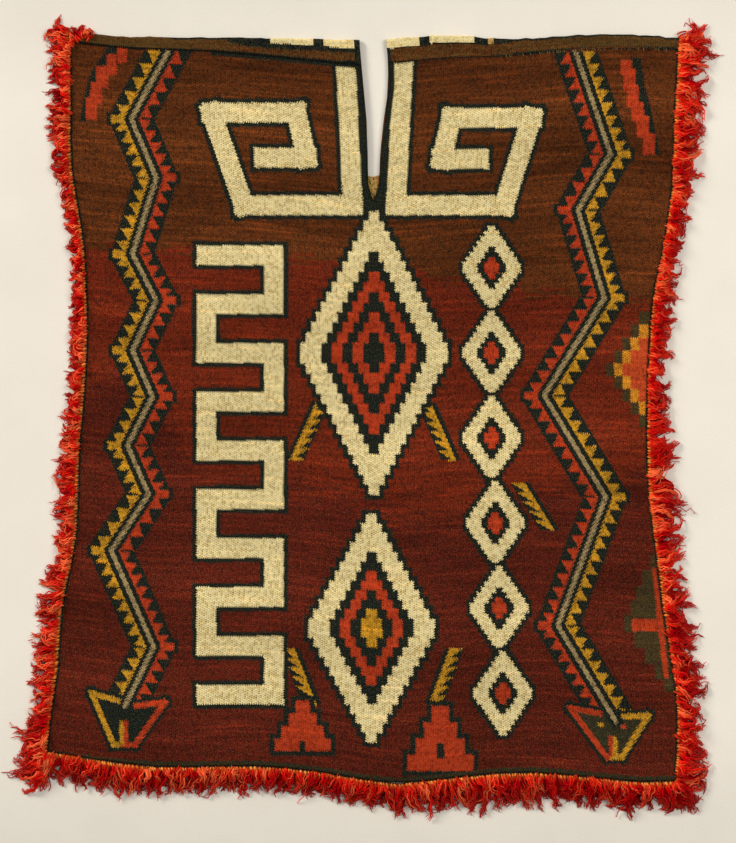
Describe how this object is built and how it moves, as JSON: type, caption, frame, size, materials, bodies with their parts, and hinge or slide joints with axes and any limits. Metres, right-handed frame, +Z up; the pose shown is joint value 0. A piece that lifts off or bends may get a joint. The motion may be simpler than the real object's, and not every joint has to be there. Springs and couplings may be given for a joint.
{
  "type": "tunic",
  "caption": "Small sleeveless tapestry tunic with an upright neck slit, open armholes and a shaggy red yarn fringe along its edges, laid out flat.",
  "frame": {"origin": "on the flat underside of the back, on the line of the neck slit, halfway between the shoulder fold and the hem", "axes": "+X towards the right-hand side edge as seen from above, +Y from the hem to the shoulder fold, +Z up out of the front"},
  "size_m": [0.5594, 0.6373, 0.0073],
  "materials": {
    "tapestry": "matte woven camelid-wool tapestry with coloured motifs",
    "shoulder_band": "matte woven brown wool",
    "fringe_yarn": "matte crinkled loose wool yarn"
  },
  "bodies": {
    "root": {"back_panel": "tapestry", "front_panel": "tapestry", "shoulder_left": "shoulder_band", "shoulder_right": "shoulder_band", "fringe_armhole_left": "fringe_yarn", "fringe_armhole_right": "fringe_yarn", "fringe_side_left": "fringe_yarn", "fringe_side_right": "fringe_yarn", "fringe_hem_front": "fringe_yarn", "fringe_hem_back": "fringe_yarn"}
  },
  "joints": []
}
